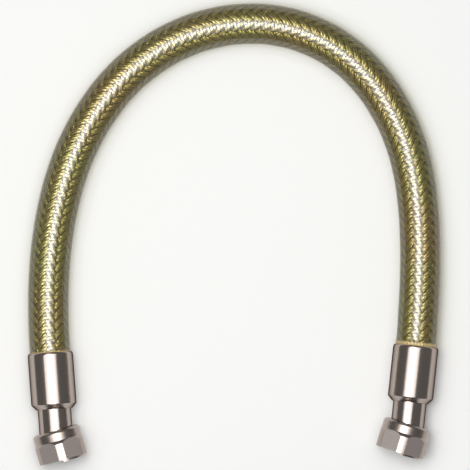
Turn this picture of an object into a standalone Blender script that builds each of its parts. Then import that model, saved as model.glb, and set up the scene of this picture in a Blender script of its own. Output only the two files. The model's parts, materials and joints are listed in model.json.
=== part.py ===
"""Corrugated stainless steel hose, braided, with a clear cover and a loose union nut at each end.

The hose lies flat in an arch, in metres, with +Z up and the floor at Z = 0. The arch opens towards -Y.
The sizes run from the inside of the hose outwards, so each layer follows the one under it.
"""
import math

import bmesh
import bpy
from mathutils import Matrix, Vector

MM = 0.001

# Corrugated tube: a thin steel wall folded into rings.
TUBE_BORE_RADIUS = 6.4 * MM
TUBE_WALL = 0.35 * MM
WAVE_HEIGHT = 1.25 * MM
WAVE_PITCH = 5.1 * MM
TUBE_SIDES = 8

# Wire braid: strands that cross as raised ridges, with a low spot in each gap between them.
LAYER_GAP = 0.25 * MM
BRAID_THICKNESS = 0.65 * MM
BRAID_RELIEF = 0.3 * MM
BRAID_STRANDS = 16
BRAID_ROW = 3.65 * MM

# Clear cover over the braid.
COVER_WALL = 0.82 * MM
HOSE_SIDES = 16
SECTION_LENGTH = 10.0 * MM

# Crimped ferrule over each end of the hose.
FERRULE_WALL = 0.76 * MM
FERRULE_LENGTH = 28.0 * MM
FERRULE_END_WALL = 3.7 * MM
FERRULE_SHOULDER = 2.4 * MM
SHOULDER_EDGE = 0.3 * MM
MOUTH_CHAMFER = 0.4 * MM

# Tailpiece: spigot, collar, neck and flange turned from one bar.
SPIGOT_LENGTH = 18.5 * MM
SPIGOT_WALL = 0.8 * MM
COLLAR_THICKNESS = 2.5 * MM
NECK_RADIUS = 8.3 * MM
FLANGE_OVERLAP = 0.35 * MM
FLANGE_THICKNESS = 1.6 * MM
SEAT_GAP = 0.3 * MM

# Union nut for a half-inch pipe thread.
SWIVEL_GAP = 0.5 * MM
LIP_THICKNESS = 1.2 * MM
THREAD_GAP = 0.15 * MM
THREAD_DEPTH = 1.15 * MM
NUT_WALL = 1.55 * MM
NUT_HEIGHT = 14.8 * MM
COLLAR_HEIGHT = 5.1 * MM
COLLAR_STEP = 0.05 * MM
COLLAR_ROUNDING = 1.8 * MM
ROUNDING_STEPS = 3
NUT_CONE = 1.6 * MM
CORNER_HEIGHT = 0.9 * MM
THREAD_CHAMFER = 1.0 * MM
HEXAGON_SPARE = 2.0 * MM
NUT_DISTANCE = 11.0 * MM
TURNED_SIDES = 24

# Gasket ring in each nut.
GASKET_THICKNESS = 2.0 * MM
GASKET_HOLE_RADIUS = 5.6 * MM

# How the hose lies. The leans are in the plane of the floor, measured from -Y towards the middle.
LEFT_LEAN = math.radians(4.3)
RIGHT_LEAN = math.radians(6.2)
LEFT_NUT_LEAN = math.radians(15.6)
RIGHT_NUT_LEAN = math.radians(16.9)
RISE_LENGTH = 85.0 * MM

# The middle line of the hose on the floor, from the left ferrule's mouth to the right one's, in mm.
ROUTE = [
    (-91.1, -58.6), (-92.0, -37.4), (-91.6, -19.9), (-90.0, -2.4), (-87.0, 14.6), (-82.5, 30.9),
    (-75.9, 46.9), (-67.3, 61.7), (-56.6, 75.2), (-43.4, 86.8), (-28.5, 95.7), (-12.1, 101.6),
    (5.2, 104.1), (22.3, 103.0), (38.7, 98.1), (53.7, 89.5), (66.1, 78.1), (76.0, 64.3),
    (83.5, 48.8), (88.3, 32.3), (90.9, 15.2), (92.0, -2.5), (92.0, -20.0), (91.2, -37.5),
    (89.9, -55.3),
]


def outside_polygon(radius, sides):
    """Corner radius of a polygon whose flats lie at the given radius, for a hole that must clear it."""
    return radius / math.cos(math.pi / sides)


tube_crest = TUBE_BORE_RADIUS + TUBE_WALL + WAVE_HEIGHT
braid_bore = outside_polygon(tube_crest + LAYER_GAP, BRAID_STRANDS)
braid_radius = tube_crest + LAYER_GAP + BRAID_THICKNESS
cover_bore = outside_polygon(braid_radius + LAYER_GAP, HOSE_SIDES)
cover_radius = cover_bore + COVER_WALL
ferrule_bore = outside_polygon(cover_radius + LAYER_GAP, TURNED_SIDES)
ferrule_radius = ferrule_bore + FERRULE_WALL
ferrule_hole = NECK_RADIUS + SEAT_GAP

ferrule_chamber = FERRULE_LENGTH - FERRULE_END_WALL
collar_end = ferrule_chamber - SEAT_GAP
collar_start = collar_end - COLLAR_THICKNESS
hose_end = collar_start - SEAT_GAP
spigot_start = collar_start - SPIGOT_LENGTH
spigot_radius = TUBE_BORE_RADIUS * math.cos(math.pi / TUBE_SIDES) - LAYER_GAP
bore_radius = spigot_radius - SPIGOT_WALL
collar_radius = ferrule_bore - 2 * SEAT_GAP

lip_hole = NECK_RADIUS + SWIVEL_GAP
flange_radius = lip_hole + FLANGE_OVERLAP
thread_radius = flange_radius + THREAD_GAP
thread_root = thread_radius + THREAD_DEPTH
half_across_flats = thread_root + NUT_WALL
corner_radius = half_across_flats + CORNER_HEIGHT
nut_collar_radius = half_across_flats - COLLAR_STEP
nut_position = FERRULE_LENGTH + NUT_DISTANCE
nut_tilt = max(LEFT_NUT_LEAN - LEFT_LEAN, RIGHT_NUT_LEAN - RIGHT_LEAN) + math.radians(1)
lip_face = LIP_THICKNESS / 2
flange_start = (lip_face + LAYER_GAP + flange_radius * math.sin(nut_tilt)) / math.cos(nut_tilt)
flange_end = flange_start + FLANGE_THICKNESS
undercut_end = flange_end + LAYER_GAP
gasket_start = flange_end * math.cos(nut_tilt) + flange_radius * math.sin(nut_tilt) + LAYER_GAP

# The nuts lie on a corner, higher than the hose, so the hose rises over its last stretch to meet them.
mouth_rise = (corner_radius - cover_radius) / (1 + 2 * nut_position / RISE_LENGTH)
rise_slope = 2 * mouth_rise / RISE_LENGTH


def make_material(name, colour, metallic, roughness, alpha=1.0):
    material = bpy.data.materials.new(name)
    material.use_nodes = True
    shader = material.node_tree.nodes["Principled BSDF"]
    shader.inputs["Base Color"].default_value = (*colour, 1.0)
    shader.inputs["Metallic"].default_value = metallic
    shader.inputs["Roughness"].default_value = roughness
    shader.inputs["Alpha"].default_value = alpha
    material.diffuse_color = (*colour, alpha)
    return material


def make_object(name, mesh, material, collection):
    new_object = bpy.data.objects.new(name, mesh)
    if material:
        new_object.data.materials.append(material)
    collection.objects.link(new_object)
    return new_object


def make_guide(guide):
    guide.hide_render = True
    guide.display_type = "WIRE"


def ring_profile(name, points):
    """Closed outline of (radius, height) points, down the outer side first and back up the bore."""
    mesh = bpy.data.meshes.new(name)
    corners = [(radius, 0.0, height) for radius, height in points]
    edges = [(i, (i + 1) % len(corners)) for i in range(len(corners))]
    mesh.from_pydata(corners, edges, [])
    return mesh


def turned(name, points, sides, material, collection):
    """A turned ring: its outline spun once about its own Z."""
    ring = make_object(name, ring_profile(name, points), material, collection)
    screw = ring.modifiers.new("turn", "SCREW")
    screw.steps = sides
    screw.render_steps = sides
    screw.use_merge_vertices = True
    screw.merge_threshold = 0.00001
    return ring


def evenly(start, end, spacing):
    """Heights from start to end, both included, about one spacing apart."""
    count = max(1, round(abs(end - start) / spacing))
    return [start + (end - start) * i / count for i in range(count + 1)]


def rise_at(point):
    """How far above its lying height the hose runs at a point of the floor, in metres."""
    distance = min((point - route_ends[0]).length, (point - route_ends[1]).length)
    return mouth_rise * max(0.0, 1 - distance / RISE_LENGTH) ** 2


def heading(lean, side, slope):
    """Direction out of the hose's end: along -Y, leaned towards the middle, and up by the slope."""
    return Vector((-side * math.sin(lean), -math.cos(lean), slope)).normalized()


def facing(place, direction):
    """Placement with Z along the direction and X as near to straight up as that allows."""
    up = Vector((0, 0, 1))
    across = (up - direction * up.dot(direction)).normalized()
    columns = Matrix((across, direction.cross(across), direction)).transposed()
    return Matrix.Translation(place) @ columns.to_4x4()


def make_route(collection):
    """Smooth guide curve along the middle of the hose, straight where it runs inside a ferrule."""
    points = [Vector((p.x, p.y, cover_radius + rise_at(p))) for p in route_points]
    left_tip = points[0] + left_heading * hose_end
    right_tip = points[-1] + right_heading * hose_end
    points = [left_tip] + points + [right_tip]
    curve = bpy.data.curves.new("hose_route", "CURVE")
    curve.dimensions = "3D"
    curve.twist_mode = "Z_UP"
    spline = curve.splines.new("BEZIER")
    spline.bezier_points.add(len(points) - 1)
    for knot, point in zip(spline.bezier_points, points):
        knot.co = point
        knot.handle_left_type = "AUTO"
        knot.handle_right_type = "AUTO"
    for end, direction in ((0, -left_heading), (-2, right_heading)):
        straighten(spline.bezier_points, end, direction)
    route = make_object("hose_route", curve, None, collection)
    make_guide(route)
    return route


def straighten(knots, first, direction):
    """Make the stretch between two knots straight, and leave it smoothly at both of them."""
    for knot in (knots[first], knots[first + 1]):
        knot.handle_left_type = "FREE"
        knot.handle_right_type = "FREE"
        knot.handle_left = knot.co - direction * hose_end / 3
        knot.handle_right = knot.co + direction * hose_end / 3


def bend(straight, route):
    """Lay a straight piece, built along its own Z, onto the route."""
    follow = straight.modifiers.new("follow_route", "CURVE")
    follow.object = route
    follow.deform_axis = "POS_Z"


def make_corrugated_tube(length, route, material, collection):
    """Thin wall folded into rings, so the outside and the bore carry the same waves."""
    half_waves = 2 * max(1, round(length / WAVE_PITCH))
    outline = []
    for i in range(half_waves, -1, -1):
        outline.append((TUBE_BORE_RADIUS + TUBE_WALL + (i % 2) * WAVE_HEIGHT, length * i / half_waves))
    for i in range(half_waves + 1):
        outline.append((TUBE_BORE_RADIUS + (i % 2) * WAVE_HEIGHT, length * i / half_waves))
    tube = turned("corrugated_tube", outline, TUBE_SIDES, material, collection)
    bend(tube, route)
    return tube


def braid_rings(length):
    """Rings of (height, radii): the crossing ridges up the outside, then the plain bore back down."""
    rows = 2 * max(1, round(length / BRAID_ROW / 2))
    rings = []
    for row in range(rows + 1):
        radii = [braid_radius - ((row + side) % 2) * BRAID_RELIEF for side in range(BRAID_STRANDS)]
        rings.append((length * row / rows, radii))
    for height in evenly(length, 0.0, SECTION_LENGTH):
        rings.append((height, [braid_bore] * BRAID_STRANDS))
    return rings


def make_wire_braid(length, route, material, collection):
    """Sleeve of crossing strands: each face is folded along its ridge, between its two high corners."""
    shape = bmesh.new()
    rings = []
    for height, radii in braid_rings(length):
        ring = []
        for side, radius in enumerate(radii):
            angle = 2 * math.pi * side / BRAID_STRANDS
            ring.append(shape.verts.new((radius * math.cos(angle), radius * math.sin(angle), height)))
        rings.append(ring)
    for lower, upper in zip(rings, rings[1:] + rings[:1]):
        for side in range(BRAID_STRANDS):
            after = (side + 1) % BRAID_STRANDS
            add_folded_face(shape, lower[side], lower[after], upper[after], upper[side])
    mesh = bpy.data.meshes.new("wire_braid")
    shape.to_mesh(mesh)
    shape.free()
    braid = make_object("wire_braid", mesh, material, collection)
    bend(braid, route)
    return braid


def add_folded_face(shape, a, b, c, d):
    """Two triangles over four corners, joined along the diagonal whose ends stand further out."""
    if a.co.xy.length + c.co.xy.length >= b.co.xy.length + d.co.xy.length:
        shape.faces.new((a, b, c))
        shape.faces.new((a, c, d))
    else:
        shape.faces.new((a, b, d))
        shape.faces.new((b, c, d))


def make_hose_cover(length, route, material, collection):
    """Plain clear tube over the braid."""
    outline = [(cover_radius, height) for height in evenly(length, 0.0, SECTION_LENGTH)]
    outline += [(cover_bore, height) for height in evenly(0.0, length, SECTION_LENGTH)]
    cover = turned("hose_cover", outline, HOSE_SIDES, material, collection)
    bend(cover, route)
    return cover


def make_ferrule(name, material, collection):
    """Sleeve over the cover, open at the mouth and turned in to the neck at the other end."""
    shoulder = FERRULE_LENGTH - FERRULE_SHOULDER
    outline = [
        (ferrule_hole, FERRULE_LENGTH),
        (ferrule_hole + SHOULDER_EDGE, FERRULE_LENGTH),
        (ferrule_radius - SHOULDER_EDGE, shoulder + SHOULDER_EDGE),
        (ferrule_radius, shoulder - SHOULDER_EDGE),
        (ferrule_radius, MOUTH_CHAMFER),
        (ferrule_radius - MOUTH_CHAMFER / 2, 0.0),
        (ferrule_bore, 0.0),
        (ferrule_bore, ferrule_chamber),
        (ferrule_hole, ferrule_chamber),
    ]
    return turned(name, outline, TURNED_SIDES, material, collection)


def make_tailpiece(name, material, collection):
    """Flange inside the nut, neck, collar inside the ferrule and spigot inside the tube."""
    flange_top = nut_position + flange_start
    flange_face = nut_position + flange_end
    outline = [
        (bore_radius, flange_face),
        (flange_radius, flange_face),
        (flange_radius, flange_top),
        (NECK_RADIUS, flange_top),
        (NECK_RADIUS, collar_end),
        (collar_radius, collar_end),
        (collar_radius, collar_start),
        (spigot_radius, collar_start),
        (spigot_radius, spigot_start),
        (bore_radius, spigot_start),
    ]
    return turned(name, outline, TURNED_SIDES, material, collection)


def make_union_nut(name, material, collection, cutters):
    """Turned blank with a collar and a cone, cut to a hexagon whose corners are slightly turned off."""
    top = -lip_face
    mouth = top + NUT_HEIGHT
    outline = [
        (corner_radius, mouth),
        (corner_radius, top + COLLAR_HEIGHT + NUT_CONE),
        (nut_collar_radius, top + COLLAR_HEIGHT),
    ]
    for step in range(ROUNDING_STEPS + 1):
        angle = math.pi / 2 * step / ROUNDING_STEPS
        radius = nut_collar_radius - COLLAR_ROUNDING * (1 - math.cos(angle))
        outline.append((radius, top + COLLAR_ROUNDING * (1 - math.sin(angle))))
    outline += [
        (lip_hole, top),
        (lip_hole, lip_face),
        (thread_root, lip_face),
        (thread_root, undercut_end),
        (thread_radius, undercut_end),
        (thread_radius, mouth - THREAD_CHAMFER),
        (thread_radius + THREAD_CHAMFER, mouth),
    ]
    nut = turned(name, outline, TURNED_SIDES, material, collection)
    hexagon = make_hexagon(name + "_hexagon", mouth, cutters)
    hexagon.parent = nut
    flats = nut.modifiers.new("flats", "BOOLEAN")
    flats.operation = "INTERSECT"
    flats.solver = "EXACT"
    flats.object = hexagon
    return nut


def make_hexagon(name, mouth, cutters):
    """Hexagonal bar that leaves the six flats, taller than the nut at both ends."""
    shape = bmesh.new()
    radius = outside_polygon(half_across_flats, 6)
    depth = NUT_HEIGHT + 2 * HEXAGON_SPARE
    bmesh.ops.create_cone(
        shape, cap_ends=True, segments=6, radius1=radius, radius2=radius, depth=depth
    )
    bmesh.ops.rotate(shape, verts=shape.verts, matrix=Matrix.Rotation(math.pi / 2, 3, "Z"))
    bmesh.ops.translate(shape, verts=shape.verts, vec=(0, 0, mouth - NUT_HEIGHT / 2))
    mesh = bpy.data.meshes.new(name)
    shape.to_mesh(mesh)
    shape.free()
    hexagon = make_object(name, mesh, None, cutters)
    make_guide(hexagon)
    return hexagon


def make_gasket(name, material, collection):
    """Flat ring that lies in the nut's thread against the flange."""
    outer = thread_radius * math.cos(math.pi / TURNED_SIDES) - LAYER_GAP
    gasket_end = gasket_start + GASKET_THICKNESS
    outline = [
        (outer, gasket_end),
        (outer, gasket_start),
        (GASKET_HOLE_RADIUS, gasket_start),
        (GASKET_HOLE_RADIUS, gasket_end),
    ]
    return turned(name, outline, TURNED_SIDES, material, collection)


def make_anchor(name, placement, collection):
    """Empty that carries the pieces of one end."""
    anchor = bpy.data.objects.new(name, None)
    anchor.matrix_world = placement
    collection.objects.link(anchor)
    return anchor


def make_end(side_name, mouth, direction, nut_direction, steel, rubber, collection, cutters):
    """Ferrule, tailpiece, nut and gasket of one end of the hose."""
    end = make_anchor(side_name + "_end", facing(mouth, direction), collection)
    make_ferrule(side_name + "_ferrule", steel, collection).parent = end
    make_tailpiece(side_name + "_tailpiece", steel, collection).parent = end
    crossing = mouth + direction * nut_position
    swivel = make_anchor(side_name + "_nut_axis", facing(crossing, nut_direction), collection)
    make_union_nut(side_name + "_union_nut", steel, collection, cutters).parent = swivel
    make_gasket(side_name + "_gasket", rubber, collection).parent = swivel


for old in list(bpy.data.objects):
    bpy.data.objects.remove(old, do_unlink=True)

parts = bpy.data.collections.new("corrugated_steel_hose")
cutters = bpy.data.collections.new("cutters")
bpy.context.scene.collection.children.link(parts)
bpy.context.scene.collection.children.link(cutters)

polished_steel = make_material("polished_stainless_steel", (0.56, 0.52, 0.52), 1.0, 0.25)
tube_steel = make_material("tube_stainless_steel", (0.60, 0.60, 0.60), 1.0, 0.35)
braid_steel = make_material("braided_stainless_wire", (0.66, 0.64, 0.58), 1.0, 0.3)
clear_plastic = make_material("clear_yellow_plastic", (0.62, 0.58, 0.22), 0.0, 0.2, 0.35)
gasket_fibre = make_material("gasket_fibre", (0.10, 0.18, 0.14), 0.0, 0.7)

route_points = [Vector((x * MM, y * MM)) for x, y in ROUTE]
route_ends = (route_points[0], route_points[-1])
left_heading = heading(LEFT_LEAN, -1, rise_slope)
right_heading = heading(RIGHT_LEAN, 1, rise_slope)
hose_route = make_route(cutters)
hose_length = hose_route.data.splines[0].calc_length()

make_corrugated_tube(hose_length, hose_route, tube_steel, parts)
make_wire_braid(hose_length, hose_route, braid_steel, parts)
make_hose_cover(hose_length, hose_route, clear_plastic, parts)

mouth_height = cover_radius + mouth_rise
left_mouth = route_ends[0].to_3d() + Vector((0, 0, mouth_height))
right_mouth = route_ends[1].to_3d() + Vector((0, 0, mouth_height))
left_nut_heading = heading(LEFT_NUT_LEAN, -1, 0.0)
right_nut_heading = heading(RIGHT_NUT_LEAN, 1, 0.0)
make_end("left", left_mouth, left_heading, left_nut_heading, polished_steel, gasket_fibre, parts, cutters)
make_end("right", right_mouth, right_heading, right_nut_heading, polished_steel, gasket_fibre, parts, cutters)
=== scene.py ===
"""Braided corrugated steel hose with a clear yellow cover, crimped ferrules and loose union nuts.

Lengths are in metres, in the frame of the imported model: +Z up from the surface that the hose lies on.
"""
import json
import math

import bpy
from mathutils import Matrix, Vector


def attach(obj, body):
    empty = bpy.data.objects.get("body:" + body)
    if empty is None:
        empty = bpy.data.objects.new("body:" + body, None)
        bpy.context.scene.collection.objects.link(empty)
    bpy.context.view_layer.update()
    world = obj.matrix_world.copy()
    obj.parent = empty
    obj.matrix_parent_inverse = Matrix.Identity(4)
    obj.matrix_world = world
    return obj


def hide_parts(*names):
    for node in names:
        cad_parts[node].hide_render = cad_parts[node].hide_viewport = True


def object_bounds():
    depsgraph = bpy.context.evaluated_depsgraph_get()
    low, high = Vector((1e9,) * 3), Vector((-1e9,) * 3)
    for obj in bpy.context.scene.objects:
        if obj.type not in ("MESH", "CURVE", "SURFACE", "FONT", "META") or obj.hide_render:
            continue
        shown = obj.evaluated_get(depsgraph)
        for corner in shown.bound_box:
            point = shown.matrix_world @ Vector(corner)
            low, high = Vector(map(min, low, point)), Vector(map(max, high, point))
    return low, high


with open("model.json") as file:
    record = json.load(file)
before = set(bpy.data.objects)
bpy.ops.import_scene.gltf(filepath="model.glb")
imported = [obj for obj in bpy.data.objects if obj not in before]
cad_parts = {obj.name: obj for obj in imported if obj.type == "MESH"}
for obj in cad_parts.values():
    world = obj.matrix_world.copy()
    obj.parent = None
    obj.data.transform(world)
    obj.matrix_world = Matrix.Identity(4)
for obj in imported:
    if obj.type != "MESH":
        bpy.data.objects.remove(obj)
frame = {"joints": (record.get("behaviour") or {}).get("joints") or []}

cad_low, cad_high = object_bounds()


# The lie of the hose. It rests on the floor in an arch, and rises over its last stretch at each end,
# because the nuts lie on a corner and hold the ends higher. Every layer of the hose follows this line.
MM = 0.001
HOSE_RADIUS = 10.14 * MM
ROUTE = [
    (-0.0911, -0.0586), (-0.0920, -0.0374), (-0.0916, -0.0199), (-0.0900, -0.0024), (-0.0870, 0.0146),
    (-0.0825, 0.0309), (-0.0759, 0.0469), (-0.0673, 0.0617), (-0.0566, 0.0752), (-0.0434, 0.0868),
    (-0.0285, 0.0957), (-0.0121, 0.1016), (0.0052, 0.1041), (0.0223, 0.1030), (0.0387, 0.0981),
    (0.0537, 0.0895), (0.0661, 0.0781), (0.0760, 0.0643), (0.0835, 0.0488), (0.0883, 0.0323),
    (0.0909, 0.0152), (0.0920, -0.0025), (0.0920, -0.0200), (0.0912, -0.0375), (0.0899, -0.0553),
]
ROUTE_STEPS = 24
RISE_LENGTH = 85.0 * MM
# Both from the ferrule's mouth: to the hose's end inside it, and to where the nut's axis crosses the neck's.
HOSE_IN_FERRULE = 21.2 * MM
NUT_POSITION = 39.0 * MM

swivels = {joint["child"]: joint for joint in frame["joints"]}
left_crossing = Vector(swivels["left_nut"]["pos_m"])
right_crossing = Vector(swivels["right_nut"]["pos_m"])
# The fitting goes on straight at the slope of the rise, up to the height at which the nut lies.
mouth_rise = (left_crossing.z - HOSE_RADIUS) / (1 + 2 * NUT_POSITION / RISE_LENGTH)
route_ends = [Vector(ROUTE[0]), Vector(ROUTE[-1])]


def on_route(x, y):
    """Point of the hose's middle line over a place on the floor."""
    distance = min((Vector((x, y)) - end).length for end in route_ends)
    return Vector((x, y, HOSE_RADIUS + mouth_rise * max(0.0, 1 - distance / RISE_LENGTH) ** 2))


route_points = [on_route(x, y) for x, y in ROUTE]
left_mouth, right_mouth = route_points[0], route_points[-1]
left_heading = (left_crossing - left_mouth).normalized()
right_heading = (right_crossing - right_mouth).normalized()
route_points = (
    [left_mouth + left_heading * HOSE_IN_FERRULE]
    + route_points
    + [right_mouth + right_heading * HOSE_IN_FERRULE]
)

route_curve = bpy.data.curves.new("hose_route", "CURVE")
route_curve.dimensions = "3D"
route_curve.twist_mode = "Z_UP"
route_curve.resolution_u = ROUTE_STEPS
route_spline = route_curve.splines.new("BEZIER")
route_spline.bezier_points.add(len(route_points) - 1)
for knot, point in zip(route_spline.bezier_points, route_points):
    knot.co = point
    knot.handle_left_type = "AUTO"
    knot.handle_right_type = "AUTO"
# The stretch inside each ferrule is straight.
for first, direction in ((0, -left_heading), (-2, right_heading)):
    for knot in (route_spline.bezier_points[first], route_spline.bezier_points[first + 1]):
        knot.handle_left_type = "FREE"
        knot.handle_right_type = "FREE"
        knot.handle_left = knot.co - direction * HOSE_IN_FERRULE / 3
        knot.handle_right = knot.co + direction * HOSE_IN_FERRULE / 3
route = bpy.data.objects.new("hose_route", route_curve)
bpy.context.scene.collection.objects.link(route)
hose_length = route_spline.calc_length()


# Corrugated tube: the pressure tube of the hose, a thin stainless strip rolled and welded to a tube, then
# folded into close rings so that it bends. It shows as thin rings through the gaps of the braid.
TUBE_CREST_RADIUS = 8.0 * MM
TUBE_VALLEY_RADIUS = 6.9 * MM
RING_PITCH = 1.7 * MM
TUBE_SIDES = 32
RING_JOIN_WITHIN = 0.01 * MM
JOIN_WITHIN = 0.001 * MM
# For each point of a ring: its height as a share of the pitch, and how far it is from valley to crest.
RING_SHAPE = [(0.0, 0.0), (0.28, 0.25), (0.36, 0.9), (0.5, 1.0), (0.64, 0.9), (0.72, 0.25), (1.0, 0.0)]


def take(piece):
    """Makes a piece the only selected and active one."""
    bpy.ops.object.select_all(action="DESELECT")
    piece.select_set(True)
    bpy.context.view_layer.objects.active = piece


def finish_with(piece, kind, **settings):
    """Adds a modifier to a piece and applies it."""
    take(piece)
    modifier = piece.modifiers.new(kind.lower(), kind)
    for name, value in settings.items():
        setattr(modifier, name, value)
    bpy.ops.object.modifier_apply(modifier=modifier.name)


def keep_shape(piece):
    """Keeps each point's place on the straight piece, for materials whose pattern follows it."""
    kept = piece.data.attributes.new("as_made", "FLOAT_VECTOR", "POINT")
    places = [value for vertex in piece.data.vertices for value in vertex.co]
    kept.data.foreach_set("vector", places)


def lay_on_route(piece):
    """Bends a piece that was built straight up from the origin onto the hose's line."""
    finish_with(piece, "CURVE", object=route, deform_axis="POS_Z")


def turned(name, outline, sides, closed=True):
    """Round piece about Z: a ring at the outline's first (radius, height), extruded on to each next one."""
    bpy.ops.object.select_all(action="DESELECT")
    radius, height = outline[0]
    bpy.ops.mesh.primitive_circle_add(vertices=sides, radius=radius, location=(0, 0, height))
    piece = bpy.context.object
    piece.name = name
    bpy.ops.object.transform_apply(location=True, rotation=True, scale=True)
    bpy.ops.object.mode_set(mode="EDIT")
    bpy.ops.mesh.select_all(action="SELECT")
    for next_radius, next_height in outline[1:] + outline[: 1 if closed else 0]:
        step = (0, 0, next_height - height)
        bpy.ops.mesh.extrude_region_move(TRANSFORM_OT_translate={"value": step})
        ratio = next_radius / radius
        bpy.ops.transform.resize(value=(ratio, ratio, 1), center_override=(0, 0, next_height))
        radius, height = next_radius, next_height
    bpy.ops.mesh.select_all(action="SELECT")
    bpy.ops.mesh.remove_doubles(threshold=JOIN_WITHIN)
    bpy.ops.mesh.normals_make_consistent(inside=False)
    bpy.ops.object.mode_set(mode="OBJECT")
    return piece


def paint(piece, material):
    """Gives a piece one material all over."""
    piece.data.materials.clear()
    piece.data.materials.append(material)


def linear(hex_colour):
    """Linear colour, with alpha, of an sRGB hex value."""
    shares = [int(hex_colour[i : i + 2], 16) / 255 for i in (1, 3, 5)]
    return tuple(c / 12.92 if c <= 0.04045 else ((c + 0.055) / 1.055) ** 2.4 for c in shares) + (1.0,)


def add_node(material, kind, settings={}, inputs={}):
    """Adds a node. Settings are its own values, and inputs are values or sockets to link.

    A Mix node's sockets go by number: 0 is the share, 2 and 3 its two numbers, 6 and 7 its two colours.
    """
    made = material.node_tree.nodes.new(kind)
    for name, value in settings.items():
        setattr(made, name, value)
    for name, value in inputs.items():
        if isinstance(value, bpy.types.NodeSocket):
            material.node_tree.links.new(value, made.inputs[name])
        else:
            made.inputs[name].default_value = value
    return made


def new_material(name):
    """An empty material and its output node."""
    material = bpy.data.materials.new(name)
    material.use_nodes = True
    material.node_tree.nodes.clear()
    return material, add_node(material, "ShaderNodeOutputMaterial")


rings = round(hose_length / RING_PITCH)
ring_pitch = hose_length / rings
wave = TUBE_CREST_RADIUS - TUBE_VALLEY_RADIUS
tube = turned(
    "fine_corrugated_tube",
    [(TUBE_VALLEY_RADIUS + wave * out, ring_pitch * up) for up, out in RING_SHAPE],
    TUBE_SIDES,
    closed=False,
)
finish_with(
    tube, "ARRAY", count=rings, use_relative_offset=False, use_constant_offset=True,
    constant_offset_displace=(0, 0, ring_pitch), use_merge_vertices=True, merge_threshold=RING_JOIN_WITHIN,
)
keep_shape(tube)
lay_on_route(tube)
bpy.ops.object.shade_smooth()

# Drawn stainless strip, bright with a faint grain, which mirrors the wires over it in thin lines.
# A noise's scale is its number of patches a metre, here and below, and its comment gives their size.
TUBE_STEEL_COLOUR = "#D5CFC6"
TUBE_ROUGHNESS = (0.22, 0.42)
TUBE_GRAIN_SCALE = 900.0  # 1.1 mm
tube_steel, tube_output = new_material("drawn_stainless_tube")
tube_place = add_node(tube_steel, "ShaderNodeAttribute", {"attribute_name": "as_made"})
tube_grain = add_node(
    tube_steel, "ShaderNodeTexNoise", {},
    {"Vector": tube_place.outputs["Vector"], "Scale": TUBE_GRAIN_SCALE},
)
tube_rough = add_node(
    tube_steel, "ShaderNodeMapRange", {},
    {"Value": tube_grain.outputs["Fac"], "To Min": TUBE_ROUGHNESS[0], "To Max": TUBE_ROUGHNESS[1]},
)
tube_shader = add_node(
    tube_steel, "ShaderNodeBsdfPrincipled", {},
    {
        "Base Color": linear(TUBE_STEEL_COLOUR), "Metallic": 1.0,
        "Roughness": tube_rough.outputs["Result"],
    },
)
tube_steel.node_tree.links.new(tube_shader.outputs["BSDF"], tube_output.inputs["Surface"])
paint(tube, tube_steel)
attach(tube, "hose")
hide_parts("corrugated_tube")


# Wire braid: 24 flat bundles of eight hard stainless wires, twelve wound each way, each over two of the
# others and under two, which sets the bundles in chevrons. It keeps the tube from stretching.
# Each way's twelve bundles are one piece here.
BUNDLES_EACH_WAY = 12
WIRES = 8
WIRE_DIAMETER = 0.37 * MM
WIRE_GROOVE = 0.05 * MM
BUNDLE_POINTS = 2 * WIRES + 1
BUNDLE_CROWN = 0.28 * MM
BRAID_MIDDLE_RADIUS = 8.70 * MM
BRAID_WEAVE_DEPTH = 0.26 * MM
BRAID_ANGLE = math.radians(43.5)
BRAID_END_GAP = 1.5 * MM
STEPS_PER_CROSSING = 2.5
# A bundle rises and dips this many times a turn, and the phase centres each rise on two crossings.
WEAVES_PER_TURN = BUNDLES_EACH_WAY / 2
WEAVE_PHASE = -math.pi / 4
FLOAT_FLATNESS = 0.5

bundle_width = WIRES * WIRE_DIAMETER
braid_top_radius = BRAID_MIDDLE_RADIUS + BUNDLE_CROWN + BRAID_WEAVE_DEPTH
twist_rate = math.tan(BRAID_ANGLE) / BRAID_MIDDLE_RADIUS
crossing_length = math.pi / (BUNDLES_EACH_WAY * twist_rate) / math.cos(BRAID_ANGLE)
bundle_length = (hose_length - 2 * BRAID_END_GAP) / math.cos(BRAID_ANGLE)
bundle_steps = round(bundle_length / crossing_length * STEPS_PER_CROSSING)


def flat_bundle(name):
    """One bundle, straight up along Z: wires side by side in a crowned row on a flat back, closed."""
    bpy.ops.object.select_all(action="DESELECT")
    bpy.ops.mesh.primitive_circle_add(vertices=BUNDLE_POINTS, radius=bundle_width)
    bundle = bpy.context.object
    bundle.name = name
    for i, vertex in enumerate(bundle.data.vertices):
        share = i / WIRES - 1
        out = BUNDLE_CROWN * (1 - share**2) - (0 if i % 2 else WIRE_GROOVE)
        vertex.co = (bundle_width / 2 * share, out, 0)
    bundle.data.vertices[0].co.y = -WIRE_DIAMETER / 2
    bundle.data.vertices[-1].co.y = -WIRE_DIAMETER / 2
    bpy.ops.object.mode_set(mode="EDIT")
    bpy.ops.mesh.select_all(action="SELECT")
    step = (0, 0, bundle_length / bundle_steps)
    bpy.ops.mesh.extrude_region_move(TRANSFORM_OT_translate={"value": step})
    bpy.ops.object.mode_set(mode="OBJECT")
    finish_with(
        bundle, "ARRAY", count=bundle_steps, use_relative_offset=False, use_constant_offset=True,
        constant_offset_displace=step, use_merge_vertices=True, merge_threshold=JOIN_WITHIN,
    )
    bpy.ops.object.mode_set(mode="EDIT")
    bpy.ops.mesh.select_all(action="SELECT")
    bpy.ops.mesh.fill_holes(sides=BUNDLE_POINTS)
    bpy.ops.mesh.select_all(action="SELECT")
    bpy.ops.mesh.normals_make_consistent(inside=False)
    bpy.ops.object.mode_set(mode="OBJECT")
    keep_shape(bundle)
    return bundle


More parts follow.
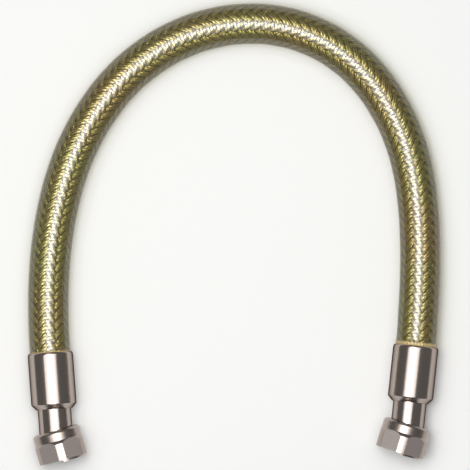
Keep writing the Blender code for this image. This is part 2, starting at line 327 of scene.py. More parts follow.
def wind(bundle, hand, start):
    """Winds a straight bundle into its helix. The other hand's bundles rise where this one's dip.

    A float lies flat on the two bundles that it crosses, so the wave of the weave is flattened at its tops.
    Each point keeps how many millimetres it lies below the braid's highest wires, as "under_plastic".
    """
    under_plastic = bundle.data.attributes.new("under_plastic", "FLOAT", "POINT")
    for vertex in bundle.data.vertices:
        across, out, along = vertex.co
        height = along * math.cos(BRAID_ANGLE) - across * math.sin(BRAID_ANGLE)
        around = along * math.sin(BRAID_ANGLE) + across * math.cos(BRAID_ANGLE)
        angle = hand * around / BRAID_MIDDLE_RADIUS + start
        weave = math.cos(WEAVES_PER_TURN * angle + WEAVE_PHASE)
        weave *= 1 + FLOAT_FLATNESS - FLOAT_FLATNESS * weave**2
        radius = BRAID_MIDDLE_RADIUS + out + hand * BRAID_WEAVE_DEPTH * weave
        under_plastic.data[vertex.index].value = (braid_top_radius - radius) / MM
        vertex.co = (radius * math.cos(angle), radius * math.sin(angle), BRAID_END_GAP + height)


def maths(material, operation, *values):
    """Socket of one Math node."""
    inputs = dict(enumerate(values))
    return add_node(material, "ShaderNodeMath", {"operation": operation}, inputs).outputs[0]


# Narrows the cosine's wave to a groove.
GROOVE_SHARPNESS = 4.0


def ring_grooves(material, height):
    """Socket that is 1 in a narrow groove at each of the tube's rings, and 0 on the broad crest between."""
    turns = maths(material, "MULTIPLY", height, 2 * math.pi / ring_pitch)
    wave = maths(material, "MULTIPLY_ADD", maths(material, "COSINE", turns), 0.5, 0.5)
    return maths(material, "POWER", wave, GROOVE_SHARPNESS)


# Bright drawn stainless wire. Each wire mirrors the lamp in a thin line, so the weave shows as broken
# chevrons. The yellow plastic lies thin over the highest wires and fills the spaces beside and under them.
# The steel's colour is painted pale on top and deep brown-olive further down: partly the plastic's thicker
# tint there, and partly painted shade in the weave's hollows. The two depths are in millimetres under the
# highest wires.
WIRE_STEEL_COLOUR = "#E2DDD2"
WIRE_DEEP_TINT_AND_SHADE_COLOUR = "#62532C"
WIRE_DEEP_FROM = 0.08
WIRE_DEEP_TO = 0.60
WIRE_ROUGHNESS = (0.24, 0.42)
WIRE_PATCH_SCALE = 260.0  # 3.8 mm
# The single wires are too fine to show, so each bundle shows three strands, a millimetre apart, and the
# grooves between them are painted darker, as painted shade. The wires sag a little between the tube's
# rings, which crosses the highlight with fine dark lines.
STRANDS_SHOWN = 3
STRAND_GAP_DEPTH = 0.06 * MM
STRAND_GAP_PAINTED_SHADE = 0.7
BRAID_SAG = 0.08 * MM
BUNDLE_ROUNDING = 0.20 * MM
wire_steel, wire_output = new_material("braided_stainless_wire")
wire_place = add_node(wire_steel, "ShaderNodeAttribute", {"attribute_name": "as_made"})
wire_object = add_node(wire_steel, "ShaderNodeTexCoord")
wire_patches = add_node(
    wire_steel, "ShaderNodeTexNoise", {"noise_dimensions": "3D"},
    {"Vector": wire_object.outputs["Object"], "Scale": WIRE_PATCH_SCALE, "Detail": 3.0},
)
wire_rough = add_node(
    wire_steel, "ShaderNodeMapRange", {},
    {"Value": wire_patches.outputs["Fac"], "To Min": WIRE_ROUGHNESS[0], "To Max": WIRE_ROUGHNESS[1]},
)
wire_at = add_node(wire_steel, "ShaderNodeSeparateXYZ", {}, {0: wire_place.outputs["Vector"]})
wire_rise = maths(wire_steel, "MULTIPLY", wire_at.outputs["Z"], math.cos(BRAID_ANGLE))
wire_lean = maths(wire_steel, "MULTIPLY", wire_at.outputs["X"], math.sin(BRAID_ANGLE))
wire_above_end = maths(wire_steel, "SUBTRACT", wire_rise, wire_lean)
wire_height = maths(wire_steel, "ADD", wire_above_end, BRAID_END_GAP)
wire_sag_bump = add_node(
    wire_steel, "ShaderNodeBump", {"invert": True},
    {"Height": ring_grooves(wire_steel, wire_height), "Distance": BRAID_SAG},
)
wire_share = maths(wire_steel, "MULTIPLY", wire_at.outputs["X"], 2 / bundle_width)
wire_turns = maths(wire_steel, "MULTIPLY", wire_share, STRANDS_SHOWN * math.pi)
wire_wave = maths(wire_steel, "MULTIPLY_ADD", maths(wire_steel, "COSINE", wire_turns), -0.5, 0.5)
wire_gap = maths(wire_steel, "POWER", wire_wave, 2.0)
wire_strand_bump = add_node(
    wire_steel, "ShaderNodeBump", {"invert": True},
    {"Height": wire_gap, "Distance": STRAND_GAP_DEPTH, "Normal": wire_sag_bump.outputs["Normal"]},
)
wire_bump = add_node(
    wire_steel, "ShaderNodeBump", {"invert": True},
    {
        "Height": maths(wire_steel, "POWER", maths(wire_steel, "ABSOLUTE", wire_share), 2.0),
        "Distance": BUNDLE_ROUNDING, "Normal": wire_strand_bump.outputs["Normal"],
    },
)
wire_under = add_node(wire_steel, "ShaderNodeAttribute", {"attribute_name": "under_plastic"})
# Painted shade, with the plastic's deeper tint: the wires' colour darkens with their depth under the top.
wire_deep_tint_and_shade = add_node(
    wire_steel, "ShaderNodeMapRange", {},
    {"Value": wire_under.outputs["Fac"], "From Min": WIRE_DEEP_FROM, "From Max": WIRE_DEEP_TO},
)
# Painted shade in the grooves between the strands.
wire_gap_painted_shade = maths(wire_steel, "MULTIPLY", wire_gap, STRAND_GAP_PAINTED_SHADE)
wire_painted_shade = maths(wire_steel, "MAXIMUM", wire_deep_tint_and_shade.outputs["Result"], wire_gap_painted_shade)
wire_shaded_colour = add_node(
    wire_steel, "ShaderNodeMix", {"data_type": "RGBA"},
    {0: wire_painted_shade, 6: linear(WIRE_STEEL_COLOUR), 7: linear(WIRE_DEEP_TINT_AND_SHADE_COLOUR)},
)
wire_shader = add_node(
    wire_steel, "ShaderNodeBsdfPrincipled", {},
    {
        "Base Color": wire_shaded_colour.outputs[2], "Metallic": 1.0,
        "Roughness": wire_rough.outputs["Result"], "Normal": wire_bump.outputs["Normal"],
    },
)
wire_steel.node_tree.links.new(wire_shader.outputs["BSDF"], wire_output.inputs["Surface"])

# The left-hand winding turns the bundles inside out, so their normals are recalculated.
for name, hand in (("braid_wound_right", 1), ("braid_wound_left", -1)):
    bundle = flat_bundle(name)
    copies = []
    for i in range(1, BUNDLES_EACH_WAY):
        copied = bundle.copy()
        copied.data = bundle.data.copy()
        wind(copied, hand, 2 * math.pi * i / BUNDLES_EACH_WAY)
        bpy.context.scene.collection.objects.link(copied)
        copies.append(copied)
    wind(bundle, hand, 0)
    take(bundle)
    for copied in copies:
        copied.select_set(True)
    bpy.ops.object.join()
    if hand < 0:
        bpy.ops.object.mode_set(mode="EDIT")
        bpy.ops.mesh.select_all(action="SELECT")
        bpy.ops.mesh.normals_make_consistent(inside=False)
        bpy.ops.object.mode_set(mode="OBJECT")
    lay_on_route(bundle)
    bpy.ops.object.shade_smooth()
    paint(bundle, wire_steel)
    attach(bundle, "hose")
    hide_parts("wire_braid")


# Clear cover: soft yellow PVC tube drawn over the braid, which keeps hands and paint off the wires.
# The ferrules squeeze its ends, and at the right one it bulges out as a deeper amber bead with pleats.
# Its wall is drawn so thick that plastic fills the spaces between the wires, because air there looks grey.
COVER_WALL = 1.92 * MM
COVER_SIDES = 64
COVER_STEP = 2.4 * MM
# Each bead's length along the hose, and how far it stands out.
LEFT_BEAD_LENGTH = 0.9 * MM
LEFT_BEAD_HEIGHT = 0.10 * MM
RIGHT_BEAD_LENGTH = 2.2 * MM
RIGHT_BEAD_HEIGHT = 0.35 * MM
BEAD_RINGS = 5
COVER_SMOOTH_ANGLE = math.radians(40)

cover_steps = round(hose_length / COVER_STEP)
cover_step = hose_length / cover_steps
cover = turned(
    "clear_cover_tube", [(HOSE_RADIUS, 0.0), (HOSE_RADIUS, cover_step)], COVER_SIDES, closed=False
)
finish_with(
    cover, "ARRAY", count=cover_steps, use_relative_offset=False, use_constant_offset=True,
    constant_offset_displace=(0, 0, cover_step), use_merge_vertices=True, merge_threshold=JOIN_WITHIN,
)
right_bead_foot = hose_length - HOSE_IN_FERRULE - RIGHT_BEAD_LENGTH
beads = (
    (HOSE_IN_FERRULE, LEFT_BEAD_LENGTH, LEFT_BEAD_HEIGHT),
    (right_bead_foot, RIGHT_BEAD_LENGTH, RIGHT_BEAD_HEIGHT),
)
for foot, length, height in beads:
    for i in range(BEAD_RINGS):
        bpy.ops.object.mode_set(mode="EDIT")
        bpy.ops.mesh.select_all(action="SELECT")
        level = foot + length * i / (BEAD_RINGS - 1)
        bpy.ops.mesh.bisect(plane_co=(0, 0, level), plane_no=(0, 0, 1))
        bpy.ops.object.mode_set(mode="OBJECT")
    for vertex in cover.data.vertices:
        share = (vertex.co.z - foot) / length
        if 0 < share < 1:
            swell = 1 + height / HOSE_RADIUS * math.sin(math.pi * share)
            vertex.co.x *= swell
            vertex.co.y *= swell
finish_with(cover, "SOLIDIFY", thickness=COVER_WALL, offset=-1.0)
keep_shape(cover)
lay_on_route(cover)
bpy.ops.object.shade_smooth_by_angle(angle=COVER_SMOOTH_ANGLE)

# Soft PVC, clear and glossy, coloured yellow all through, with a little haze away from its edges.
# Its tone wanders from olive to amber over a few centimetres, and the squeezed ends are amber and hazy.
COVER_COLOUR = "#B5B16A"
COVER_BROWNED = "#BFA96A"
COVER_SQUEEZED = "#D9BC7E"
SQUEEZED_HAZE = 0.7
COVER_TONE_SCALE = 22.0  # 45 mm
COVER_TONE_FROM = 0.35
COVER_TONE_TO = 0.65
COVER_ROUGHNESS = 0.10
COVER_IOR = 1.53
COVER_CLEAR_FACE = 0.92
COVER_CLEAR_EDGE = 1.0
COVER_CLEAR_FROM = 0.45
COVER_CLEAR_TO = 0.85
# The broad gloss of the skin fades towards the hose's edges, where the clear plastic alone mirrors enough.
COVER_GLOSS_FACE = 1.0
COVER_GLOSS_EDGE = 0.0
COVER_GLOSS_FROM = 0.2
COVER_GLOSS_TO = 0.6
COVER_GLOSS_ROUGHNESS = 0.24
COVER_GLOSS_IOR = 1.6
# It has shrunk on to the braid, so its skin shows the bundles as faint diagonals and the tube's rings.
WEAVE_RELIEF = 0.05 * MM
RING_RELIEF = 0.05 * MM
PLEATS = 44
PLEAT_DEPTH = 0.08 * MM
cover_plastic, cover_output = new_material("clear_yellow_pvc")
cover_place = add_node(cover_plastic, "ShaderNodeAttribute", {"attribute_name": "as_made"})
cover_at = add_node(cover_plastic, "ShaderNodeSeparateXYZ", {}, {0: cover_place.outputs["Vector"]})
cover_angle = maths(cover_plastic, "ARCTAN2", cover_at.outputs["Y"], cover_at.outputs["X"])
cover_around = maths(cover_plastic, "MULTIPLY", cover_angle, BUNDLES_EACH_WAY)
cover_height = maths(cover_plastic, "SUBTRACT", cover_at.outputs["Z"], BRAID_END_GAP)
cover_along = maths(cover_plastic, "MULTIPLY", cover_height, BUNDLES_EACH_WAY * twist_rate)
cover_right_turns = maths(cover_plastic, "SUBTRACT", cover_around, cover_along)
cover_right = maths(cover_plastic, "COSINE", cover_right_turns)
cover_left_turns = maths(cover_plastic, "ADD", cover_around, cover_along)
cover_left = maths(cover_plastic, "COSINE", cover_left_turns)
cover_lobes = maths(cover_plastic, "MULTIPLY_ADD", cover_angle, WEAVES_PER_TURN, WEAVE_PHASE)
cover_lobe_wave = maths(cover_plastic, "COSINE", cover_lobes)
cover_on_top = maths(cover_plastic, "MULTIPLY_ADD", cover_lobe_wave, 0.5, 0.5)
cover_weave = add_node(
    cover_plastic, "ShaderNodeMix", {}, {0: cover_on_top, 2: cover_left, 3: cover_right}
)
cover_weave_bump = add_node(
    cover_plastic, "ShaderNodeBump", {},
    {"Height": cover_weave.outputs[0], "Distance": WEAVE_RELIEF / 2},
)
cover_bump = add_node(
    cover_plastic, "ShaderNodeBump", {"invert": True},
    {
        "Height": ring_grooves(cover_plastic, cover_at.outputs["Z"]), "Distance": RING_RELIEF,
        "Normal": cover_weave_bump.outputs["Normal"],
    },
)
cover_tones = add_node(
    cover_plastic, "ShaderNodeTexNoise", {},
    {"Vector": cover_place.outputs["Vector"], "Scale": COVER_TONE_SCALE, "Detail": 2.0},
)
cover_tone_share = add_node(
    cover_plastic, "ShaderNodeMapRange", {},
    {"Value": cover_tones.outputs["Fac"], "From Min": COVER_TONE_FROM, "From Max": COVER_TONE_TO},
)
cover_tone = add_node(
    cover_plastic, "ShaderNodeMix", {"data_type": "RGBA"},
    {0: cover_tone_share.outputs["Result"], 6: linear(COVER_COLOUR), 7: linear(COVER_BROWNED)},
)
cover_left_end = add_node(
    cover_plastic, "ShaderNodeMapRange", {"interpolation_type": "SMOOTHSTEP"},
    {
        "Value": cover_at.outputs["Z"], "From Min": HOSE_IN_FERRULE,
        "From Max": HOSE_IN_FERRULE + LEFT_BEAD_LENGTH, "To Min": 1.0, "To Max": 0.0,
    },
)
cover_right_end = add_node(
    cover_plastic, "ShaderNodeMapRange", {"interpolation_type": "SMOOTHSTEP"},
    {
        "Value": cover_at.outputs["Z"], "From Min": right_bead_foot,
        "From Max": right_bead_foot + RIGHT_BEAD_LENGTH / 2,
    },
)
cover_squeezed = maths(
    cover_plastic, "MAXIMUM", cover_left_end.outputs["Result"], cover_right_end.outputs["Result"]
)
cover_colour = add_node(
    cover_plastic, "ShaderNodeMix", {"data_type": "RGBA"},
    {0: cover_squeezed, 6: cover_tone.outputs[2], 7: linear(COVER_SQUEEZED)},
)
cover_facing = add_node(cover_plastic, "ShaderNodeLayerWeight", {}, {"Blend": 0.5})
cover_clear = add_node(
    cover_plastic, "ShaderNodeMapRange", {},
    {
        "Value": cover_facing.outputs["Facing"], "From Min": COVER_CLEAR_FROM,
        "From Max": COVER_CLEAR_TO, "To Min": COVER_CLEAR_FACE, "To Max": COVER_CLEAR_EDGE,
    },
)
cover_gloss = add_node(
    cover_plastic, "ShaderNodeMapRange", {},
    {
        "Value": cover_facing.outputs["Facing"], "From Min": COVER_GLOSS_FROM,
        "From Max": COVER_GLOSS_TO, "To Min": COVER_GLOSS_FACE, "To Max": COVER_GLOSS_EDGE,
    },
)
cover_folds = maths(cover_plastic, "MULTIPLY", cover_angle, PLEATS)
cover_fold_wave = maths(cover_plastic, "COSINE", cover_folds)
cover_pleats = maths(cover_plastic, "MULTIPLY", cover_fold_wave, cover_squeezed)
cover_skin = add_node(
    cover_plastic, "ShaderNodeBump", {},
    {"Height": cover_pleats, "Distance": PLEAT_DEPTH, "Normal": cover_bump.outputs["Normal"]},
)
cover_haze = maths(cover_plastic, "MULTIPLY_ADD", cover_squeezed, -SQUEEZED_HAZE, 1.0)
cover_transmission = maths(cover_plastic, "MULTIPLY", cover_clear.outputs["Result"], cover_haze)
cover_shader = add_node(
    cover_plastic, "ShaderNodeBsdfPrincipled", {},
    {
        "Base Color": cover_colour.outputs[2], "Roughness": COVER_ROUGHNESS, "IOR": COVER_IOR,
        "Transmission Weight": cover_transmission, "Normal": cover_skin.outputs["Normal"],
        "Coat Weight": cover_gloss.outputs["Result"], "Coat Roughness": COVER_GLOSS_ROUGHNESS,
        "Coat IOR": COVER_GLOSS_IOR, "Coat Normal": cover_skin.outputs["Normal"],
    },
)
# A lamp's light crosses the skin once on its way to the wires, so it takes the square root of the tint.
one_pass = tuple(share**0.5 for share in linear(COVER_COLOUR))
cover_through = add_node(cover_plastic, "ShaderNodeBsdfTransparent", {}, {"Color": one_pass})
ray = add_node(cover_plastic, "ShaderNodeLightPath")
cover_mix = add_node(
    cover_plastic, "ShaderNodeMixShader", {},
    {0: ray.outputs["Is Shadow Ray"], 1: cover_shader.outputs["BSDF"], 2: cover_through.outputs["BSDF"]},
)
cover_plastic.node_tree.links.new(cover_mix.outputs["Shader"], cover_output.inputs["Surface"])
paint(cover, cover_plastic)
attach(cover, "hose")
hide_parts("hose_cover")
route_eval = route.evaluated_get(bpy.context.evaluated_depsgraph_get()).to_mesh()
bpy.data.objects.remove(route)


# Ferrules: steel sleeves pushed over the hose's ends and squeezed smooth, then polished.
# Each is open towards the hose and turned in to the neck of its tailpiece at the other end.
FERRULE_RADIUS = 11.24 * MM
FERRULE_BORE_RADIUS = 10.49 * MM
FERRULE_HOLE_RADIUS = 8.6 * MM
FERRULE_LENGTH = 28.0 * MM
FERRULE_SHOULDER = 2.4 * MM
FERRULE_CHAMBER = 24.3 * MM
MOUTH_CHAMFER = 1.5 * MM
# The mouth's rounding: how far a point lies inside the outer face, and its share of the chamfer's length.
MOUTH_ROUNDING = ((0.14 * MM, 0.45), (0.42 * MM, 0.1))
FITTING_SIDES = 96
EDGE_BREAK = 0.18 * MM
EDGE_BREAK_ANGLE = math.radians(28)
TURNED_SMOOTH_ANGLE = math.radians(50)

ferrule_outline = [
    (FERRULE_HOLE_RADIUS, FERRULE_LENGTH),
    (FERRULE_HOLE_RADIUS + 2 * EDGE_BREAK, FERRULE_LENGTH),
    (FERRULE_RADIUS, FERRULE_LENGTH - FERRULE_SHOULDER),
    (FERRULE_RADIUS, MOUTH_CHAMFER),
    *((FERRULE_RADIUS - inside, MOUTH_CHAMFER * share) for inside, share in MOUTH_ROUNDING),
    (FERRULE_BORE_RADIUS, 0.0),
    (FERRULE_BORE_RADIUS, FERRULE_CHAMBER),
    (FERRULE_HOLE_RADIUS, FERRULE_CHAMBER),
]


def facing(place, direction):
    """Placement with Z along the direction and X as near to straight up as that allows."""
    up = Vector((0, 0, 1))
    across = (up - direction * up.dot(direction)).normalized()
    columns = Matrix((across, direction.cross(across), direction)).transposed()
    return Matrix.Translation(place) @ columns.to_4x4()


def break_edges(piece, edge):
    """Breaks the sharp edges of a turned piece and shades it, with its long faces kept true."""
    finish_with(
        piece, "BEVEL", width=edge, segments=2, limit_method="ANGLE", angle_limit=EDGE_BREAK_ANGLE,
    )
    bpy.ops.object.shade_smooth_by_angle(angle=TURNED_SMOOTH_ANGLE)
    finish_with(piece, "WEIGHTED_NORMAL", keep_sharp=True)


def put_in_place(piece, placement):
    """Moves a finished piece's mesh to its place, once its pattern's places are kept."""
    keep_shape(piece)
    piece.data.transform(placement)


# Stainless steel turned and buffed: it mirrors its surroundings, with a faint brown-violet cast and fine
# streaks along the sleeve, and its edge tint darkens the mirror where it is seen at a slant.
POLISHED_STEEL_COLOUR = "#B7ABA4"
POLISHED_EDGE_TINT = "#202020"
POLISHED_ROUGHNESS = (0.08, 0.26)
POLISHED_STREAK_SCALE = (900.0, 900.0, 30.0)  # 1.1 mm across and 33 mm along the sleeve
polished_steel, polished_output = new_material("buffed_stainless_steel")
polished_place = add_node(polished_steel, "ShaderNodeAttribute", {"attribute_name": "as_made"})
polished_streaks_at = add_node(
    polished_steel, "ShaderNodeMapping", {},
    {"Vector": polished_place.outputs["Vector"], "Scale": POLISHED_STREAK_SCALE},
)
polished_streaks = add_node(
    polished_steel, "ShaderNodeTexNoise", {},
    {"Vector": polished_streaks_at.outputs["Vector"], "Scale": 1.0, "Detail": 3.0},
)
polished_rough = add_node(
    polished_steel, "ShaderNodeMapRange", {},
    {
        "Value": polished_streaks.outputs["Fac"],
        "To Min": POLISHED_ROUGHNESS[0], "To Max": POLISHED_ROUGHNESS[1],
    },
)
polished_shader = add_node(
    polished_steel, "ShaderNodeBsdfPrincipled", {},
    {
        "Base Color": linear(POLISHED_STEEL_COLOUR), "Metallic": 1.0,
        "Roughness": polished_rough.outputs["Result"], "Specular Tint": linear(POLISHED_EDGE_TINT),
    },
)
polished_steel.node_tree.links.new(polished_shader.outputs["BSDF"], polished_output.inputs["Surface"])

ends = {"left": (left_mouth, left_heading), "right": (right_mouth, right_heading)}
for side, (mouth, heading) in ends.items():
    ferrule = turned(side + "_crimped_ferrule", ferrule_outline, FITTING_SIDES)
    break_edges(ferrule, EDGE_BREAK)
    put_in_place(ferrule, facing(mouth, heading))
    paint(ferrule, polished_steel)
    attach(ferrule, "hose")
    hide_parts(side + "_ferrule")


# Tailpieces: spigot, collar, neck and flange turned from one bar. The spigot sits in the corrugated tube,
# the ferrule holds the collar, and the flange holds the nut. Only neck and flange show.
SPIGOT_START = 3.0 * MM
SPIGOT_RADIUS = 5.66 * MM
BORE_RADIUS = 4.86 * MM
COLLAR_START = 21.5 * MM
COLLAR_END = 24.0 * MM
COLLAR_RADIUS = 9.88 * MM
NECK_RADIUS = 8.3 * MM
FLANGE_RADIUS = 9.15 * MM
FLANGE_START = NUT_POSITION + 2.865 * MM
FLANGE_END = NUT_POSITION + 4.465 * MM

tailpiece_outline = [
    (BORE_RADIUS, FLANGE_END),
    (FLANGE_RADIUS, FLANGE_END),
    (FLANGE_RADIUS, FLANGE_START),
    (NECK_RADIUS, FLANGE_START),
    (NECK_RADIUS, COLLAR_END),
    (COLLAR_RADIUS, COLLAR_END),
    (COLLAR_RADIUS, COLLAR_START),
    (SPIGOT_RADIUS, COLLAR_START),
    (SPIGOT_RADIUS, SPIGOT_START),
    (BORE_RADIUS, SPIGOT_START),
]
for side, (mouth, heading) in ends.items():
    tailpiece = turned(side + "_turned_tailpiece", tailpiece_outline, FITTING_SIDES)
    break_edges(tailpiece, EDGE_BREAK)
    put_in_place(tailpiece, facing(mouth, heading))
    paint(tailpiece, polished_steel)
    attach(tailpiece, "hose")
    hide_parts(side + "_tailpiece")


# Union nuts: hexagon bar turned to a round collar with a cone behind it that cuts arcs into the flats,
# bored and threaded for a half-inch pipe. Each hangs loose behind its flange and turns on the neck.
NUT_TOP = -0.6 * MM
NUT_MOUTH = 14.2 * MM
LIP_FACE = 0.6 * MM
LIP_HOLE_RADIUS = 8.8 * MM
NUT_COLLAR_RADIUS = 11.95 * MM
NUT_COLLAR_HEIGHT = 5.1 * MM
NUT_COLLAR_ROUNDING = 1.8 * MM
ROUNDING_STEPS = 8
NUT_CONE = 1.6 * MM
NUT_CORNER_RADIUS = 12.89 * MM
HALF_ACROSS_FLATS = 12.0 * MM
HEXAGON_SPARE = 2.0 * MM
THREAD_ROOT_RADIUS = 10.45 * MM
THREAD_CREST_RADIUS = 9.3 * MM
THREAD_PITCH = 1.814 * MM
THREAD_START = 5.4 * MM
THREAD_END = 13.6 * MM
THREAD_SINK = 0.05 * MM
THREAD_FOOT_SHARE = 0.46
THREAD_CREST_WIDTH = 0.25 * MM
THREAD_STEPS = 72
THREAD_FADE_TURNS = 0.3
MOUTH_FLARE = 0.5 * MM
NUT_SMOOTH_ANGLE = math.radians(16)
FLAT_TILT_WITHIN = 0.01
FLAT_PLACE_WITHIN = 0.01 * MM


def nut_blank(name):
    """The nut before its flats are cut, bored out to the root of its thread."""
    outline = [
        (NUT_CORNER_RADIUS, NUT_MOUTH),
        (NUT_CORNER_RADIUS, NUT_TOP + NUT_COLLAR_HEIGHT + NUT_CONE),
        (NUT_COLLAR_RADIUS, NUT_TOP + NUT_COLLAR_HEIGHT),
    ]
    for step in range(ROUNDING_STEPS + 1):
        angle = math.pi / 2 * step / ROUNDING_STEPS
        radius = NUT_COLLAR_RADIUS - NUT_COLLAR_ROUNDING * (1 - math.cos(angle))
        outline.append((radius, NUT_TOP + NUT_COLLAR_ROUNDING * (1 - math.sin(angle))))
    outline += [
        (LIP_HOLE_RADIUS, NUT_TOP),
        (LIP_HOLE_RADIUS, LIP_FACE),
        (THREAD_ROOT_RADIUS, LIP_FACE),
        (THREAD_ROOT_RADIUS, NUT_MOUTH - MOUTH_FLARE),
        (THREAD_ROOT_RADIUS + MOUTH_FLARE / 2, NUT_MOUTH),
    ]
    return turned(name, outline, FITTING_SIDES)


def cut_flats(nut):
    """Leaves only what lies inside a hexagonal bar, with a corner of it along X."""
    bpy.ops.object.select_all(action="DESELECT")
    bpy.ops.mesh.primitive_cylinder_add(
        vertices=6, radius=HALF_ACROSS_FLATS / math.cos(math.pi / 6),
        depth=NUT_MOUTH - NUT_TOP + 2 * HEXAGON_SPARE,
        location=(0, 0, (NUT_MOUTH + NUT_TOP) / 2), rotation=(0, 0, math.pi / 2),
    )
    bar = bpy.context.object
    finish_with(nut, "BOOLEAN", operation="INTERSECT", solver="EXACT", object=bar)
    bpy.data.objects.remove(bar)


def thread_ridge(name):
    """The internal thread: one ridge screwed up the bore, fading into the wall at both ends."""
    bpy.ops.object.select_all(action="DESELECT")
    bpy.ops.mesh.primitive_circle_add(vertices=4, radius=THREAD_PITCH)
    ridge = bpy.context.object
    ridge.name = name
    wall = THREAD_ROOT_RADIUS + THREAD_SINK
    half_foot = THREAD_PITCH * THREAD_FOOT_SHARE
    corners = [
        (wall, -half_foot), (THREAD_CREST_RADIUS, -THREAD_CREST_WIDTH / 2),
        (THREAD_CREST_RADIUS, THREAD_CREST_WIDTH / 2), (wall, half_foot),
    ]
    for vertex, (radius, height) in zip(ridge.data.vertices, corners):
        vertex.co = (radius, 0, THREAD_START + height)
    turns = round((THREAD_END - THREAD_START) / THREAD_PITCH)
    finish_with(
        ridge, "SCREW", steps=THREAD_STEPS, render_steps=THREAD_STEPS, iterations=turns,
        screw_offset=THREAD_PITCH, use_merge_vertices=False,
    )
    for vertex in ridge.data.vertices:
        turn = math.atan2(vertex.co.y, vertex.co.x) / (2 * math.pi)
        height = (vertex.co.z - THREAD_START) / THREAD_PITCH
        turn += round(height - turn)
        fade = min(1.0, max(0.0, min(turn, turns - turn) / THREAD_FADE_TURNS))
        radius = vertex.co.xy.length
        faded = wall + (radius - wall) * fade
        vertex.co.x *= faded / radius
        vertex.co.y *= faded / radius
    bpy.ops.object.mode_set(mode="EDIT")
    bpy.ops.mesh.select_all(action="SELECT")
    bpy.ops.mesh.fill_holes(sides=4)
    bpy.ops.mesh.select_all(action="SELECT")
    bpy.ops.mesh.normals_make_consistent(inside=False)
    bpy.ops.object.mode_set(mode="OBJECT")
    return ridge


# Two finishes: the collar, the cone and the corners are turned and shine, and the flats keep the dull,
# speckled grain of the drawn bar. The turned finish's colour is painted darker than the flats', as painted
# shade on its curved faces. For each: colour, least and most roughness, and depth of the grain.
NUT_GRAIN_SCALE = 1800.0  # 0.6 mm, coarser than the real grain, so that it shows
NUT_FINISHES = {
    "turned_nut_steel_painted_darker": ("#A99D96", 0.20, 0.36, 0.004 * MM),
    "drawn_bar_steel": ("#CDC1BC", 0.38, 0.60, 0.02 * MM),
}
nut_materials = []
for finish, (colour, least, most, depth) in NUT_FINISHES.items():
    nut_steel, nut_output = new_material(finish)
    nut_place = add_node(nut_steel, "ShaderNodeAttribute", {"attribute_name": "as_made"})
    nut_grain = add_node(
        nut_steel, "ShaderNodeTexNoise", {},
        {"Vector": nut_place.outputs["Vector"], "Scale": NUT_GRAIN_SCALE, "Detail": 2.0},
    )
    nut_rough = add_node(
        nut_steel, "ShaderNodeMapRange", {},
        {"Value": nut_grain.outputs["Fac"], "To Min": least, "To Max": most},
    )
    nut_bump = add_node(
        nut_steel, "ShaderNodeBump", {}, {"Height": nut_grain.outputs["Fac"], "Distance": depth}
    )
    nut_shader = add_node(
        nut_steel, "ShaderNodeBsdfPrincipled", {},
        {
            "Base Color": linear(colour), "Metallic": 1.0,
            "Roughness": nut_rough.outputs["Result"], "Normal": nut_bump.outputs["Normal"],
        },
    )
    nut_steel.node_tree.links.new(nut_shader.outputs["BSDF"], nut_output.inputs["Surface"])
    nut_materials.append(nut_steel)

nut_frames = {}
for side in ends:
    swivel = swivels[side + "_nut"]
    nut_frames[side] = facing(Vector(swivel["pos_m"]), Vector(swivel["axis"]).normalized())
    nut = nut_blank(side + "_hexagon_nut")
    cut_flats(nut)
    ridge = thread_ridge(side + "_thread")
    take(nut)
    ridge.select_set(True)
    bpy.ops.object.join()
    bpy.ops.object.shade_smooth_by_angle(angle=NUT_SMOOTH_ANGLE)
    nut.data.materials.clear()
    for material in nut_materials:
        nut.data.materials.append(material)
    for face in nut.data.polygons:
        reach = face.normal.dot(face.center)
        is_upright = abs(face.normal.z) < FLAT_TILT_WITHIN
        is_flat = is_upright and abs(reach - HALF_ACROSS_FLATS) < FLAT_PLACE_WITHIN
        face.material_index = 1 if is_flat else 0
    put_in_place(nut, nut_frames[side])
    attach(nut, side + "_nut")
    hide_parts(side + "_union_nut")


# Gaskets: flat rings punched from pressed green fibre sheet, one in each nut against the flange.
# The pipe's end squeezes them when the nut is screwed up.
GASKET_START = 6.562 * MM
GASKET_END = 8.562 * MM
GASKET_RADIUS = 8.96 * MM
GASKET_HOLE_RADIUS = 5.6 * MM
GASKET_EDGE_BREAK = 0.15 * MM

gasket_outline = [
    (GASKET_RADIUS, GASKET_END),
    (GASKET_RADIUS, GASKET_START),
    (GASKET_HOLE_RADIUS, GASKET_START),
    (GASKET_HOLE_RADIUS, GASKET_END),
]
# Pressed fibre is matt, with a felt of darker and paler green specks that stand a little proud.
GASKET_DARK_COLOUR = "#36493F"
GASKET_PALE_COLOUR = "#6B8576"
GASKET_SPECK_SCALE = 2500.0  # 0.4 mm
GASKET_RELIEF = 0.03 * MM
GASKET_RELIEF_STRENGTH = 0.7
GASKET_ROUGHNESS = 0.8
gasket_fibre, gasket_output = new_material("pressed_green_fibre")
gasket_place = add_node(gasket_fibre, "ShaderNodeAttribute", {"attribute_name": "as_made"})
gasket_specks = add_node(
    gasket_fibre, "ShaderNodeTexNoise", {},
    {"Vector": gasket_place.outputs["Vector"], "Scale": GASKET_SPECK_SCALE, "Detail": 4.0},
)
gasket_tone = add_node(
    gasket_fibre, "ShaderNodeMix", {"data_type": "RGBA"},
    {0: gasket_specks.outputs["Fac"], 6: linear(GASKET_DARK_COLOUR), 7: linear(GASKET_PALE_COLOUR)},
)
gasket_bump = add_node(
    gasket_fibre, "ShaderNodeBump", {},
    {
        "Height": gasket_specks.outputs["Fac"], "Distance": GASKET_RELIEF,
        "Strength": GASKET_RELIEF_STRENGTH,
    },
)
gasket_shader = add_node(
    gasket_fibre, "ShaderNodeBsdfPrincipled", {},
    {
        "Base Color": gasket_tone.outputs[2], "Roughness": GASKET_ROUGHNESS,
        "Normal": gasket_bump.outputs["Normal"],
    },
)
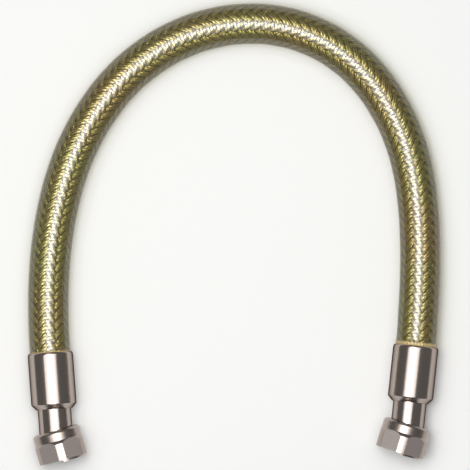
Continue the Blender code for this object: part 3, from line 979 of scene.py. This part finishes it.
gasket_fibre.node_tree.links.new(gasket_shader.outputs["BSDF"], gasket_output.inputs["Surface"])
for side in ends:
    gasket = turned(side + "_fibre_gasket", gasket_outline, FITTING_SIDES)
    break_edges(gasket, GASKET_EDGE_BREAK)
    put_in_place(gasket, nut_frames[side])
    paint(gasket, gasket_fibre)
    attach(gasket, side + "_nut")
    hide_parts(side + "_gasket")


# Floor: a plain white table top, lit evenly, that keeps the hose's soft shadow.
FLOOR_SIZE = 6.0
FLOOR_COLOUR = "#F6F6F4"
FLOOR_ROUGHNESS = 0.9
FLOOR_SHEEN = 0.2
bpy.ops.object.select_all(action="DESELECT")
bpy.ops.mesh.primitive_plane_add(size=FLOOR_SIZE, location=(0, 0, cad_low.z))
floor = bpy.context.object
floor.name = "floor"
bpy.ops.object.transform_apply(location=True, rotation=True, scale=True)
floor_paint, floor_output = new_material("matt_white_table")
floor_shader = add_node(
    floor_paint, "ShaderNodeBsdfPrincipled", {},
    {
        "Base Color": linear(FLOOR_COLOUR), "Roughness": FLOOR_ROUGHNESS,
        "Specular IOR Level": FLOOR_SHEEN,
    },
)
floor_paint.node_tree.links.new(floor_shader.outputs["BSDF"], floor_output.inputs["Surface"])
paint(floor, floor_paint)


# Light: a broad soft box above the hose and a little to its left, with a small key lamp under it that
# draws the bright line along plastic and steel, and a dim even room round them.
LAMP_AIM = (0, 0, 0)
SOFT_BOX_PLACE = (-0.12, 0.05, 1.25)
SOFT_BOX_SIZE = 1.3
SOFT_BOX_WATTS = 9.9
KEY_LAMP_PLACE = (-0.12, 0.05, 1.20)
KEY_LAMP_SIZE = 0.46
KEY_LAMP_WATTS = 5.9
ROOM_LIGHT = (0.17, 0.17, 0.17, 1.0)


def add_lamp(name, place, target, size, power):
    """Adds a square area lamp that the camera doesn't see, turned to its target."""
    lamp_data = bpy.data.lights.new(name, "AREA")
    lamp_data.shape = "SQUARE"
    lamp_data.size = size
    lamp_data.energy = power
    lamp = bpy.data.objects.new(name, lamp_data)
    lamp.location = place
    lamp.visible_camera = False
    lamp.rotation_euler = (Vector(target) - Vector(place)).to_track_quat("-Z", "Y").to_euler()
    bpy.context.scene.collection.objects.link(lamp)


add_lamp("soft_box", SOFT_BOX_PLACE, LAMP_AIM, SOFT_BOX_SIZE, SOFT_BOX_WATTS)
add_lamp("key_lamp", KEY_LAMP_PLACE, LAMP_AIM, KEY_LAMP_SIZE, KEY_LAMP_WATTS)
world = bpy.data.worlds.new("studio_room")
bpy.context.scene.world = world
world.use_nodes = True
room = world.node_tree.nodes["Background"]
room.inputs["Color"].default_value = ROOM_LIGHT
room.inputs["Strength"].default_value = 1.0


# Camera: straight above the hose and well away from it. The picture's width is at the hose's middle line.
CAMERA_HEIGHT = 3.0
PICTURE_WIDTH = 0.23265
PICTURE_CENTRE = (0.35 * MM, -0.4 * MM)
SENSOR_WIDTH = 36.0
camera_data = bpy.data.cameras.new("camera")
camera_data.sensor_width = SENSOR_WIDTH
camera_data.lens = SENSOR_WIDTH * (CAMERA_HEIGHT - HOSE_RADIUS) / PICTURE_WIDTH
camera = bpy.data.objects.new("camera", camera_data)
camera.location = (*PICTURE_CENTRE, CAMERA_HEIGHT)
bpy.context.scene.collection.objects.link(camera)
bpy.context.scene.camera = camera
bpy.context.scene.view_settings.view_transform = "Standard"
